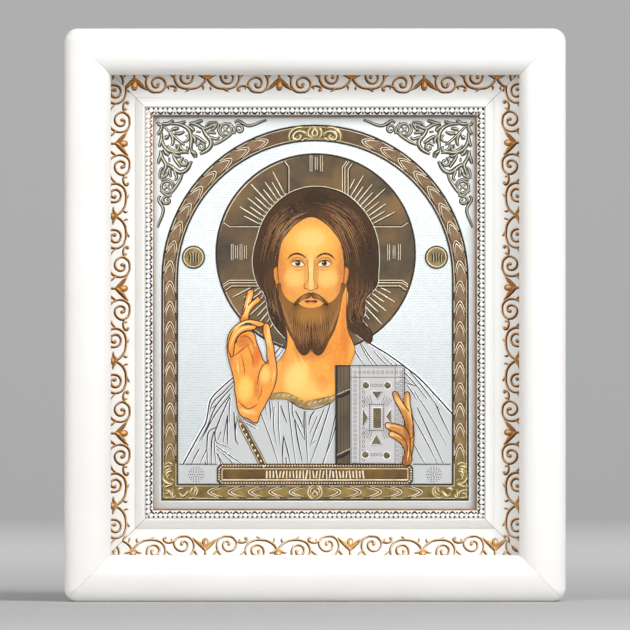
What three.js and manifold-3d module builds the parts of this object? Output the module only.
// Icon panel: a stamped silver and gilt sheet with a half figure, on its board, in a moulding with a
// scroll course, in a deep white case. Millimetres, +Z up, the front faces -Y.
// The origin is the middle of the underside.
import * as THREE from "three";
import { mergeVertices } from "three/addons/utils/BufferGeometryUtils.js";
import Module from "manifold-3d";

const wasm = await Module();
wasm.setup();

// Driving dimensions. Depths of the case are measured back from its front.
const GAP = 0.3; // clearance between neighbouring pieces
const CASE = {
  depth: 50,
  railWidth: 26,
  wall: 12,
  lipBack: 12,
  lipEdge: 9.5,
  cornerRadius: 7.5,
};
// The opening of the moulding, and how far it sits above the middle of the case.
const SIGHT = { width: 179, height: 219, rise: 1.2 };
// Widths are measured out from the sight edge, and depths back from the front of the hidden rim.
const MOULDING = {
  shown: 24.5,
  play: 2,
  sightFront: 10,
  sightRound: 1.8,
  rebateFront: 13.7,
  rebateWidth: 6,
  beadRim: 6.3,
  beadRimDepth: 6.7,
  channelOut: 5.8,
  channelDepth: 9.3,
  slopeOut: 10.8,
  slopeDepth: 9.5,
  floorIn: 11.3,
  floorDepth: 10.2,
  floorHidden: 4.5,
  rimSlope: 2,
};
const SHEET = { thickness: 1, margin: 4.5 }; // the margin is what the rebate hides
const BOARD = { thickness: 8, margin: 4.5 };
const PANEL = { thickness: 3 };

// Scroll course: half a period runs from an arrow leaf to a palmette, and the next half mirrors it.
const SHARPEST_MITRE = 0.6; // least cosine that widens a ridge at a bend
const SCROLL = {
  half: 40.5,
  ridge: 1.25,
  height: 1.1,
  sunk: 0.25,
  stem: [[0, 9.4], [4.2, 4.9]],
  near: { centre: [11.7, 9.9], quarters: [6.3, 6.4, 5.4, 3.9, 3.3, 2.6], start: -90, turn: 1, steps: 9 },
  branch: [[17.6, 8.6], [21.6, 12.4]],
  far: { centre: [28.1, 5.9], quarters: [7.9, 5.9, 4.3, 5.1, 3.6, 2], start: 90, turn: -1, steps: 9 },
  tendril: [[24.4, 3.4], [20.9, 5.2], [17.3, 3.2]],
  leaf: [[40.5, 9], [37, 5.7], [33.2, 2.6]],
  leafWidth: 2,
  palmette: { foot: 9.5, wide: 4.6, tip: 2.6, width: 3.6 },
  arrow: { foot: 8.6, wide: 11, tip: 16, width: 3.4 },
  inset: 0.3,
  phase: { top: -60.2, bottom: -20.6, side: 54.4 }, // an arrow leaf of each rail, from the sight's middle
};

// Relief of the sheet, over its plain ground.
const RELIEF = { sunk: 0.4, step: 0.5, ridge: 0.9 };
const ARCH = { margin: 3.5, topMargin: 4.1, footMargin: 4.5, band: 9.4, raised: 0.8, segments: 32 };
const LEAF = { pitch: 11.4, width: 6.6, raised: 0.5, ornament: 16, rosette: 4.2, shell: 4.4 };
const CORNER = { ridge: 1.1, raised: 0.7, inset: 2.6 };

// The picture inside the arch is drawn for this half width, from the middle of the arch's inner foot.
const DRAWN_HALF = 76.6;
const HALO = {
  centre: [0.4, 128.8],
  radius: 55.8,
  rim: 1.6,
  head: 35,
  raised: 0.8,
  bar: 16,
  barOverlap: 4,
  barEnd: 5,
  flare: 3,
  barRaised: 0.7,
  rays: 10,
  raySpread: 34,
  rayStart: 1.5,
  rayShort: 5,
  rayLong: 10,
  segments: 40,
};
const MEDALLION = { reach: 68, up: 126.7, radius: 6.4, raised: 1, stroke: 2.6, strokeGap: 1.4, segments: 20 };
const GARMENT = { raised: 0.6, foldWidth: 0.9, neckband: 3.4, sleeveband: 3.6 };
const BOOK = {
  left: 12,
  right: 49.9,
  foot: 11.1,
  top: 65.6,
  spine: 7.7,
  frame: [5, 6.5],
  raised: 1.2,
  gem: 2.1,
  gemIn: [8.5, 20.7],
  gemDown: [10.3, 49.5],
  field: [14.7, 30],
  tablet: [2.4, 5.7],
  side: { far: 8.2, near: 5, half: 4.6 },
  end: { far: 14.6, near: 10.2, half: 3 },
};
const PLAQUE = { half: 54.7, foot: -0.6, top: 11.1, raised: 1.2, border: 2.6, notch: 3.4, field: 0.7 };
const STROKE = { count: 22, width: 0.7, reach: 27, lean: 0.8, clear: 1 };

const caseWidth = SIGHT.width + 2 * (MOULDING.shown + CASE.railWidth);
const caseHeight = SIGHT.height + 2 * (MOULDING.shown + CASE.railWidth);
const mouldingStock = MOULDING.shown + CASE.railWidth - CASE.wall - MOULDING.play;
const mouldingWidth = SIGHT.width + 2 * mouldingStock;
const mouldingHeight = SIGHT.height + 2 * mouldingStock;
const sightZ = caseHeight / 2 + SIGHT.rise;
const rimFront = CASE.lipBack + GAP;
const floorDepth = rimFront + MOULDING.floorDepth;
const sheetFront = rimFront + MOULDING.rebateFront + GAP;
const boardFront = sheetFront + SHEET.thickness + GAP;
const mouldingBack = boardFront + BOARD.thickness + GAP;
const panelFront = mouldingBack + GAP;
const archRadius = SIGHT.width / 2 - ARCH.margin;
const archFoot = ARCH.footMargin - SIGHT.height / 2;
const archSpringing = SIGHT.height / 2 - ARCH.topMargin - archRadius;
const pictureScale = (archRadius - ARCH.band) / DRAWN_HALF;

const white = new THREE.MeshStandardMaterial({ color: 0xf4f2ee, roughness: 0.45, metalness: 0 });
const cream = new THREE.MeshStandardMaterial({ color: 0xefece6, roughness: 0.5, metalness: 0 });
const silver = new THREE.MeshStandardMaterial({ color: 0xd6dce2, roughness: 0.32, metalness: 0.9 });
const wood = new THREE.MeshStandardMaterial({ color: 0xb08a5e, roughness: 0.7, metalness: 0 });
const board = new THREE.MeshStandardMaterial({ color: 0x8b6a4a, roughness: 0.8, metalness: 0 });

// Height towards the viewer of a depth measured from the front of the case.
const forward = (depth) => CASE.depth / 2 - depth;

// Shapes are drawn as seen from the front, x right and y up, and then stood up to face -Y.
const standUp = (geometry) => geometry.rotateX(Math.PI / 2);

function toSolid(geometry) {
  geometry.deleteAttribute("normal");
  geometry.deleteAttribute("uv");
  const merged = mergeVertices(geometry, 1e-4);
  const index = merged.index.array;
  const kept = [];
  for (let i = 0; i < index.length; i += 3) {
    const [a, b, c] = [index[i], index[i + 1], index[i + 2]];
    if (a !== b && b !== c && a !== c) kept.push(a, b, c);
  }
  return new wasm.Manifold(
    new wasm.Mesh({
      numProp: 3,
      vertProperties: merged.attributes.position.array,
      triVerts: new Uint32Array(kept),
    }),
  );
}

function toGeometry(solid) {
  const mesh = solid.getMesh();
  const positions = new Float32Array(mesh.numVert * 3);
  for (let i = 0; i < mesh.numVert; i++) {
    positions.set(mesh.vertProperties.subarray(i * mesh.numProp, i * mesh.numProp + 3), i * 3);
  }
  return new THREE.BufferGeometry()
    .setAttribute("position", new THREE.BufferAttribute(positions, 3))
    .setIndex(new THREE.BufferAttribute(new Uint32Array(mesh.triVerts), 1));
}

// An outline drawn from the front, either way round, solid between two depths.
function slab(points, frontDepth, backDepth) {
  const outline = new THREE.Shape(points.map(([x, y]) => new THREE.Vector2(x, y)));
  const geometry = new THREE.ExtrudeGeometry(outline, {
    depth: backDepth - frontDepth,
    bevelEnabled: false,
  });
  return toSolid(standUp(geometry.translate(0, 0, forward(backDepth))));
}

// A thin triangular ridge along a path, with its crest over the ground and its foot sunk in it.
// It keeps one width round the bends, and an open one runs out to a point at each end.
function ridge(path, width, groundDepth, height, sunk, closed = false) {
  const points = (path.length === 2 ? stroke(path) : path).map(([x, y]) => new THREE.Vector2(x, y));
  const last = points.length - 1;
  const low = forward(groundDepth) - sunk;
  const half = (width / 2) * (1 + sunk / height);
  const positions = [];
  const index = [];
  const rows = points.map((point, i) => {
    if (!closed && (i === 0 || i === last)) {
      positions.push(point.x, point.y, low);
      return [positions.length / 3 - 1];
    }
    const before = point.clone().sub(points[i === 0 ? last : i - 1]).normalize();
    const after = points[i === last ? 0 : i + 1].clone().sub(point).normalize();
    const along = before.clone().add(after).normalize();
    const reach = half / Math.max(along.dot(after), SHARPEST_MITRE);
    positions.push(point.x - along.y * reach, point.y + along.x * reach, low);
    positions.push(point.x + along.y * reach, point.y - along.x * reach, low);
    positions.push(point.x, point.y, low + sunk + height);
    const first = positions.length / 3 - 3;
    return [first, first + 1, first + 2];
  });
  for (let i = 0; i < (closed ? points.length : last); i++) {
    const a = rows[i];
    const b = rows[(i + 1) % points.length];
    for (let k = 0; k < 3; k++) {
      const next = (k + 1) % 3;
      if (a.length === 1) index.push(a[0], b[k], b[next]);
      else if (b.length === 1) index.push(a[k], b[0], a[next]);
      else index.push(a[k], b[next], a[next], a[k], b[k], b[next]);
    }
  }
  const geometry = new THREE.BufferGeometry()
    .setAttribute("position", new THREE.Float32BufferAttribute(positions, 3))
    .setIndex(index);
  return toSolid(standUp(geometry));
}

// A straight stroke is a ridge that swells to its full width at the middle.
const stroke = ([a, b]) => [a, [(a[0] + b[0]) / 2, (a[1] + b[1]) / 2], b];

const join = (solids) => wasm.Manifold.union(solids);
const polar = ([x, y], radius, degrees) => {
  const angle = THREE.MathUtils.degToRad(degrees);
  return [x + radius * Math.cos(angle), y + radius * Math.sin(angle)];
};

function arc(centre, radius, from, to, segments) {
  return Array.from({ length: segments + 1 }, (_, i) =>
    polar(centre, radius, from + ((to - from) * i) / segments),
  );
}

const disc = (centre, radius, segments) => arc(centre, radius, 0, 360, segments).slice(0, -1);
const rectangle = (left, foot, right, top) => [[left, foot], [right, foot], [right, top], [left, top]];
const mirrored = (points) => points.map(([x, y]) => [-x, y]);
const moved = (points, dx, dy) => points.map(([x, y]) => [x + dx, y + dy]);

// Rails: a rounded rectangular ring drawn from its stock profile, cut in four at the mitres.
// A profile point is [inset from the outside, depth].
function frameRing(width, height, centreZ, cornerRadius, profile) {
  const cornerSegments = 4;
  const positions = [];
  const index = [];
  const loop = 4 * (cornerSegments + 1);
  profile.forEach(([inset, depth]) => {
    const radius = Math.max(cornerRadius - inset, 0);
    const reachX = width / 2 - inset - radius;
    const reachZ = height / 2 - inset - radius;
    for (let corner = 0; corner < 4; corner++) {
      const signX = corner === 0 || corner === 3 ? 1 : -1;
      const signZ = corner < 2 ? 1 : -1;
      for (let k = 0; k <= cornerSegments; k++) {
        const turn = corner * 90 + (k * 90) / cornerSegments;
        const [x, z] = polar([signX * reachX, signZ * reachZ], radius, turn);
        positions.push(x, depth - CASE.depth / 2, z + centreZ);
      }
    }
  });
  profile.forEach((_, row) => {
    const here = row * loop;
    const there = ((row + 1) % profile.length) * loop;
    for (let k = 0; k < loop; k++) {
      const next = (k + 1) % loop;
      index.push(here + k, there + next, there + k, here + k, here + next, there + next);
    }
  });
  return new THREE.BufferGeometry()
    .setAttribute("position", new THREE.Float32BufferAttribute(positions, 3))
    .setIndex(index);
}

// The block that one mitred rail is cut from, with half the mitre gap off each end.
function mitreBlock(side, width, height, centreZ, reach) {
  const over = CASE.wall;
  const slack = GAP / Math.SQRT2;
  const long = side === "top" || side === "bottom" ? width / 2 : height / 2;
  const away = side === "top" || side === "bottom" ? height / 2 : width / 2;
  const outer = long + over - slack;
  const inner = long - reach - slack;
  const block = [[-inner, away - reach], [inner, away - reach], [outer, away + over], [-outer, away + over]];
  const places = {
    top: ([along, out]) => [along, centreZ + out],
    bottom: ([along, out]) => [-along, centreZ - out],
    left: ([along, out]) => [-out, centreZ + along],
    right: ([along, out]) => [out, centreZ - along],
  };
  return slab(block.map(places[side]), -over, CASE.depth + over);
}

const { railWidth, wall, lipBack, lipEdge } = CASE;
const caseProfile = [
  [0, CASE.depth],
  [0, 6.5],
  [0.7, 4],
  [2.4, 2.2],
  [5, 1.1],
  [9, 0.3],
  [railWidth - 12, 0],
  [railWidth - 7.5, lipEdge * 0.12],
  [railWidth - 3.6, lipEdge * 0.38],
  [railWidth, lipEdge],
  [railWidth, lipBack],
  [wall, lipBack],
  [wall, CASE.depth],
];

// Points out from the sight edge and back from the rim's front, turned to [inset, depth].
const mouldingProfile = [
  [mouldingStock, mouldingBack - rimFront],
  [mouldingStock, 0],
  [MOULDING.shown + MOULDING.floorHidden + MOULDING.rimSlope, 0],
  [MOULDING.shown + MOULDING.floorHidden, MOULDING.floorDepth],
  [MOULDING.floorIn, MOULDING.floorDepth],
  [MOULDING.slopeOut, MOULDING.slopeDepth],
  [MOULDING.beadRim, MOULDING.beadRimDepth],
  [MOULDING.channelOut, MOULDING.beadRimDepth],
  [MOULDING.channelOut, MOULDING.channelDepth],
  [MOULDING.sightRound, MOULDING.channelDepth],
  [MOULDING.sightRound, MOULDING.sightFront - MOULDING.sightRound * 0.9],
  [MOULDING.sightRound * 0.6, MOULDING.sightFront - MOULDING.sightRound * 0.7],
  [MOULDING.sightRound * 0.2, MOULDING.sightFront - MOULDING.sightRound * 0.4],
  [0, MOULDING.sightFront],
  [0, MOULDING.rebateFront],
  [MOULDING.rebateWidth, MOULDING.rebateFront],
  [MOULDING.rebateWidth, mouldingBack - rimFront],
].map(([out, back]) => [mouldingStock - out, rimFront + back]);

const sides = ["top", "bottom", "left", "right"];

// A point of the scroll course: along the rail, and out from the step beside the pearl course.
const scrollIn = MOULDING.floorIn + SCROLL.inset;
const scrollPlaces = {
  top: ([s, t]) => [s, sightZ + SIGHT.height / 2 + scrollIn + t],
  bottom: ([s, t]) => [s, sightZ - SIGHT.height / 2 - scrollIn - t],
  left: ([s, t]) => [-SIGHT.width / 2 - scrollIn - t, sightZ + s],
  right: ([s, t]) => [SIGHT.width / 2 + scrollIn + t, sightZ + s],
};

// A volute whose radius is given each quarter turn.
function volute({ centre, quarters, start, turn, steps }) {
  const whole = (quarters.length - 1) * 90;
  return Array.from({ length: steps + 1 }, (_, i) => {
    const swept = (whole * i) / steps;
    const quarter = Math.min(Math.floor(swept / 90), quarters.length - 2);
    const radius = THREE.MathUtils.lerp(quarters[quarter], quarters[quarter + 1], swept / 90 - quarter);
    return polar(centre, radius, start + turn * swept);
  });
}

// One half period: the paths of its ridges, in rail coordinates, starting at an arrow leaf.
function scrollPaths() {
  return [
    [[...SCROLL.stem, ...volute(SCROLL.near)], SCROLL.ridge],
    [[...SCROLL.branch, ...volute(SCROLL.far)], SCROLL.ridge],
    [SCROLL.tendril, SCROLL.ridge],
    [SCROLL.leaf, SCROLL.leafWidth],
  ];
}

const kite = ({ foot, wide, tip, width }, s) => [
  [s, foot],
  [s - width / 2, wide],
  [s, tip],
  [s + width / 2, wide],
];

function scrollCourse(side) {
  const place = scrollPlaces[side];
  const level = side === "top" || side === "bottom";
  const phase = level ? SCROLL.phase[side] : SCROLL.phase.side;
  const reach = (level ? SIGHT.width : SIGHT.height) / 2 + MOULDING.shown + MOULDING.floorHidden;
  const first = Math.floor((-reach - phase) / SCROLL.half);
  const last = Math.ceil((reach - phase) / SCROLL.half);
  const solids = [];
  for (let n = first; n < last; n++) {
    const even = n % 2 === 0;
    const start = phase + (even ? n : n + 1) * SCROLL.half;
    const put = ([s, t]) => place([start + (even ? s : -s), t]);
    scrollPaths().forEach(([path, width]) => {
      solids.push(ridge(path.map(put), width, floorDepth, SCROLL.height, SCROLL.sunk));
    });
  }
  for (let n = first; n <= last; n++) {
    const shape = n % 2 === 0 ? SCROLL.arrow : SCROLL.palmette;
    const outline = kite(shape, phase + n * SCROLL.half).map(place);
    solids.push(slab(outline, floorDepth - SCROLL.height, floorDepth + SCROLL.sunk));
  }
  return join(solids);
}

function caseRails() {
  const ring = toSolid(frameRing(caseWidth, caseHeight, caseHeight / 2, CASE.cornerRadius, caseProfile));
  return sides.map((side) => {
    const block = mitreBlock(side, caseWidth, caseHeight, caseHeight / 2, railWidth + wall);
    return [`case_rail_${side}`, ring.intersect(block), white];
  });
}

function mouldingRails() {
  const ring = toSolid(frameRing(mouldingWidth, mouldingHeight, sightZ, 0, mouldingProfile));
  return sides.map((side) => {
    const block = mitreBlock(side, mouldingWidth, mouldingHeight, sightZ, mouldingStock + wall);
    const rail = ring.add(scrollCourse(side)).intersect(block);
    return [`moulding_${side}`, rail, cream];
  });
}

// Relief is drawn from the middle of the sight opening, and the picture from the arch's inner foot.
const atSight = (points) => moved(points, 0, sightZ);
const raised = (points, height, over = 0) =>
  slab(atSight(points), sheetFront - over - height, sheetFront - over + RELIEF.sunk);
const line = (points, width, over, closed = false) =>
  ridge(atSight(points), width, sheetFront - over, RELIEF.step, RELIEF.sunk, closed);
const inPicture = (points) =>
  points.map(([x, y]) => [x * pictureScale, archFoot + ARCH.band + y * pictureScale]);
const pictureRaised = (points, height, over) => raised(inPicture(points), height, over);
const pictureLine = (points, width, over, closed) => line(inPicture(points), width, over, closed);

// A cutter of an outline that goes through the relief and into the ground by depth.
const cutter = (points, depth) => slab(atSight(points), sheetFront - CASE.wall, sheetFront + depth);

function archOutline(inset) {
  const radius = archRadius - inset;
  return [
    [-radius, archFoot + inset],
    [radius, archFoot + inset],
    ...arc([0, archSpringing], radius, 0, 180, ARCH.segments),
  ];
}

// A pointed leaf lying along a direction, for the courses of the arch border.
function leaf([x, y], direction) {
  const length = LEAF.pitch * 0.94;
  const [dx, dy] = [Math.cos(direction), Math.sin(direction)];
  const at = (along, across) => [
    x + dx * along * length - dy * across * LEAF.width,
    y + dy * along * length + dx * across * LEAF.width,
  ];
  return [at(-0.3, 0), at(-0.45, -0.5), at(0.05, -0.42), at(0.5, 0), at(0.05, 0.42), at(-0.45, 0.5)];
}

function archBorder() {
  const band = raised(archOutline(0), ARCH.raised).subtract(cutter(archOutline(ARCH.band), RELIEF.sunk + 1));
  const solids = [band];
  const onBand = (points) => solids.push(raised(points, LEAF.raised, ARCH.raised));
  const middle = archRadius - ARCH.band / 2;
  const foot = archFoot + ARCH.band / 2;
  const start = foot + LEAF.shell * 2;
  const rise = archSpringing - start;
  const bend = middle * (Math.PI / 2) - LEAF.ornament;
  const upright = Math.floor((rise + bend) / LEAF.pitch);
  const level = Math.floor((middle - LEAF.rosette - LEAF.shell * 2) / LEAF.pitch);
  for (const hand of [1, -1]) {
    for (let i = 0; i < upright; i++) {
      const distance = (i + 0.5) * LEAF.pitch;
      const angle = Math.max(distance - rise, 0) / middle;
      const y = distance < rise ? start + distance : archSpringing + middle * Math.sin(angle);
      const outline = leaf([middle * Math.cos(angle), y], Math.PI / 2 + angle);
      onBand(hand > 0 ? outline : mirrored(outline));
    }
    for (let i = 0; i < level; i++) {
      const outline = leaf([LEAF.rosette + (i + 0.5) * LEAF.pitch, foot], 0);
      onBand(hand > 0 ? outline : mirrored(outline));
    }
    onBand(disc([hand * middle, foot], LEAF.shell, 10));
    onBand(disc(polar([0, archSpringing], middle, 90 - hand * 7.5), LEAF.shell * 0.85, 10));
  }
  onBand(disc([0, foot], LEAF.rosette, 10));
  onBand(disc([0, archSpringing + middle], LEAF.rosette * 0.85, 4));
  return join(solids);
}

function haloSolid() {
  const { centre, radius, rim, head, bar, flare } = HALO;
  const solids = [pictureRaised(disc(centre, radius, HALO.segments), HALO.raised)];
  solids.push(pictureLine(disc(centre, radius - rim / 2, HALO.segments), rim, HALO.raised, true));
  const inner = head - HALO.barOverlap;
  const outer = radius - rim - HALO.barEnd;
  const arm = [[inner, -bar], [outer, -bar - flare], [outer, bar + flare], [inner, bar]];
  for (const turn of [0, 90, 180]) {
    const angle = THREE.MathUtils.degToRad(turn);
    const [c, s] = [Math.cos(angle), Math.sin(angle)];
    const outline = moved(arm.map(([x, y]) => [x * c - y * s, x * s + y * c]), ...centre);
    solids.push(pictureRaised(outline, HALO.barRaised, HALO.raised));
  }
  for (const quadrant of [45, 135, 225, 315]) {
    for (let i = 0; i < HALO.rays; i++) {
      const angle = quadrant + ((i + 0.5) / HALO.rays - 0.5) * HALO.raySpread;
      const start = head + HALO.rayStart;
      const reach = i % 2 === 0 ? HALO.rayLong : HALO.rayShort;
      const ray = [polar(centre, start, angle), polar(centre, start + reach, angle)];
      solids.push(pictureLine(ray, RELIEF.ridge, HALO.raised));
    }
  }
  return join(solids);
}

function medallions() {
  const solids = [-1, 1].flatMap((hand) => {
    const centre = [hand * MEDALLION.reach, MEDALLION.up];
    const strokes = [-1, 1].map((side) => {
      const x = centre[0] + side * MEDALLION.strokeGap;
      const ends = [[x, centre[1] - MEDALLION.stroke], [x, centre[1] + MEDALLION.stroke]];
      return pictureLine(ends, RELIEF.ridge, MEDALLION.raised);
    });
    return [pictureRaised(disc(centre, MEDALLION.radius, MEDALLION.segments), MEDALLION.raised), ...strokes];
  });
  return join(solids);
}

// The mantle and tunic, as one low field with its folds as ridges.
const neckline = [[-23.8, 49.1], [-14.5, 48.4], [-6, 43.6], [10.5, 47.4]];
const shoulders = [
  ...[[-74.3, 9.9], [-63.5, 29.8], [-60.1, 37], [-58.7, 46.1], [-52.5, 53.4], [-46.5, 58.2]],
  ...[[-45, 45.6], [-41.6, 38.1], [-31.5, 34.6], [-27.5, 49.1]],
  ...neckline,
  ...[[17.3, 59.1], [19.3, 67.6], [17.5, 80.6], [26.7, 80.5], [40, 72.7], [50.1, 65.5]],
  ...[[57.9, 59.3], [67.9, 48.7], [76.6, 39.1], [76.6, 9.9]],
];
const sleeve = [[-41.2, 33.6], [-36, 23.6], [-28.6, 11.6]];
const folds = [
  [[-48, 49.6], [-60, 21.6], [-66, 10.6]],
  [[-50, 43.6], [-52, 27.6], [-58, 11.6]],
  [[-44, 37.6], [-46, 23.6]],
  [[-52, 25.6], [-40, 13.6]],
  [[-47, 27.6], [-32, 11.6]],
  [[-24, 39.6], [-21, 17.6]],
  [[-18.5, 42.6], [-13, 17.6]],
  [[-12.5, 42.6], [-12, 21.6]],
  [[-5.5, 39.6], [-5.3, 13.6]],
  [[0.5, 40.6], [-7, 13.6]],
  [[5, 42.6], [-1, 15.6]],
  [[57.5, 37.6], [70, 11.6]],
  [[60, 41.6], [74, 13.6]],
  [[53, 53.6], [60, 43.6]],
  [[28, 78.6], [36, 67.6]],
  [[40, 71.6], [50, 57.6]],
];

function garment() {
  const solids = [pictureRaised(shoulders, GARMENT.raised)];
  folds.forEach((path) => solids.push(pictureLine(path, GARMENT.foldWidth, GARMENT.raised)));
  solids.push(pictureLine(neckline, GARMENT.neckband, GARMENT.raised));
  solids.push(pictureLine(sleeve, GARMENT.sleeveband, GARMENT.raised));
  return join(solids);
}

function book() {
  const { left, right, foot, top, raised: over, side, end } = BOOK;
  const cover = left + BOOK.spine;
  const [frameSide, frameTop] = BOOK.frame;
  const inner = rectangle(cover + frameSide, foot + 1, right - frameSide, top - frameTop);
  const solids = [pictureRaised(rectangle(left, foot, right, top), over)];
  const onCover = (points) => solids.push(pictureRaised(points, RELIEF.step, over));
  solids.push(pictureLine(inner, RELIEF.ridge, over, true));
  for (const dx of BOOK.gemIn) {
    for (const dy of BOOK.gemDown) onCover(disc([cover + dx, top - dy], BOOK.gem, 8));
  }
  const [cx, cy] = [cover + BOOK.field[0], top - BOOK.field[1]];
  const [tabletX, tabletY] = BOOK.tablet;
  onCover(rectangle(cx - tabletX, cy - tabletY, cx + tabletX, cy + tabletY));
  for (const hand of [-1, 1]) {
    const [farX, farY] = [cx + hand * side.far, cy + hand * end.far];
    onCover([[farX, cy - side.half], [farX, cy + side.half], [cx + hand * side.near, cy]]);
    onCover([[cx - end.half, farY], [cx + end.half, farY], [cx, cy + hand * end.near]]);
  }
  return join(solids);
}

function plaque() {
  const { half, top, foot, notch, border } = PLAQUE;
  const end = [[half - notch, foot], [half, foot + notch], [half, top - notch], [half - notch, top]];
  const field = rectangle(border - half, foot + border, half - border, top - border);
  const sunk = cutter(inPicture(field), PLAQUE.field - PLAQUE.raised);
  const body = pictureRaised([...end, ...mirrored(end).reverse()], PLAQUE.raised).subtract(sunk);
  const strokes = Array.from({ length: STROKE.count }, (_, i) => {
    const x = (i / (STROKE.count - 1) - 0.5) * 2 * STROKE.reach;
    const lean = i % 3 === 0 ? STROKE.lean : 0;
    const low = [x - lean, foot + border + STROKE.clear];
    return pictureLine([low, [x + lean, top - border - STROKE.clear]], STROKE.width, PLAQUE.field);
  });
  return join([body, ...strokes]);
}

// The scrolled corner ornaments, alike on both legs of the right angle, from the sheet's corner.
const cornerLeaf = [
  [[1, 6], [5, 13], [12, 17], [20, 22], [24, 24], [22, 20], [17, 12], [13, 5], [6, 1]],
  [[4, 4], [12, 12], [20, 20]],
];
const cornerLeg = [
  [[9, 9], [15, 11]],
  [[17, 2], [26, 6], [30, 13], [26, 19], [22, 16], [25, 12]],
  [[33, 3], [36, 9], [42, 11], [46, 6], [42, 1], [36, 2], [33, 7], [28, 11]],
  [[46, 6], [51, 8], [53, 4], [49, 2]],
  [[53, 4], [57, 3], [61, 0.5]],
];

function cornerOrnaments() {
  const cornerX = SIGHT.width / 2 - CORNER.inset;
  const cornerY = SIGHT.height / 2 - CORNER.inset;
  const otherLegs = cornerLeg.map((path) => path.map(([a, b]) => [b, a]));
  const paths = [...cornerLeaf, ...cornerLeg, ...otherLegs];
  const solids = [-1, 1].flatMap((hand) =>
    paths.map((path) => {
      const points = atSight(path.map(([a, b]) => [hand * (cornerX - a), cornerY - b]));
      return ridge(points, CORNER.ridge, sheetFront, CORNER.raised, RELIEF.sunk);
    }),
  );
  return join(solids);
}

function embossedSheet() {
  const halfX = SIGHT.width / 2 + SHEET.margin;
  const halfZ = SIGHT.height / 2 + SHEET.margin;
  const ground = slab(
    rectangle(-halfX, sightZ - halfZ, halfX, sightZ + halfZ),
    sheetFront,
    sheetFront + SHEET.thickness,
  );
  const relief = [archBorder(), haloSolid(), medallions(), garment(), book(), plaque(), cornerOrnaments()];
  return join([ground, ...relief]);
}

function iconBoard() {
  const halfX = SIGHT.width / 2 + BOARD.margin;
  const halfZ = SIGHT.height / 2 + BOARD.margin;
  return slab(
    rectangle(-halfX, sightZ - halfZ, halfX, sightZ + halfZ),
    boardFront,
    boardFront + BOARD.thickness,
  );
}

function backPanel() {
  const halfX = caseWidth / 2 - wall - GAP;
  const low = wall + GAP;
  const high = caseHeight - wall - GAP;
  return slab(rectangle(-halfX, low, halfX, high), panelFront, panelFront + PANEL.thickness);
}

const panel = new THREE.Group();
const pieces = [
  ...caseRails(),
  ...mouldingRails(),
  ["embossed_sheet", embossedSheet(), silver],
  ["icon_board", iconBoard(), wood],
  ["back_panel", backPanel(), board],
];
pieces.forEach(([name, solid, material]) => {
  const mesh = new THREE.Mesh(toGeometry(solid), material);
  mesh.name = name;
  panel.add(mesh);
});

export default panel;
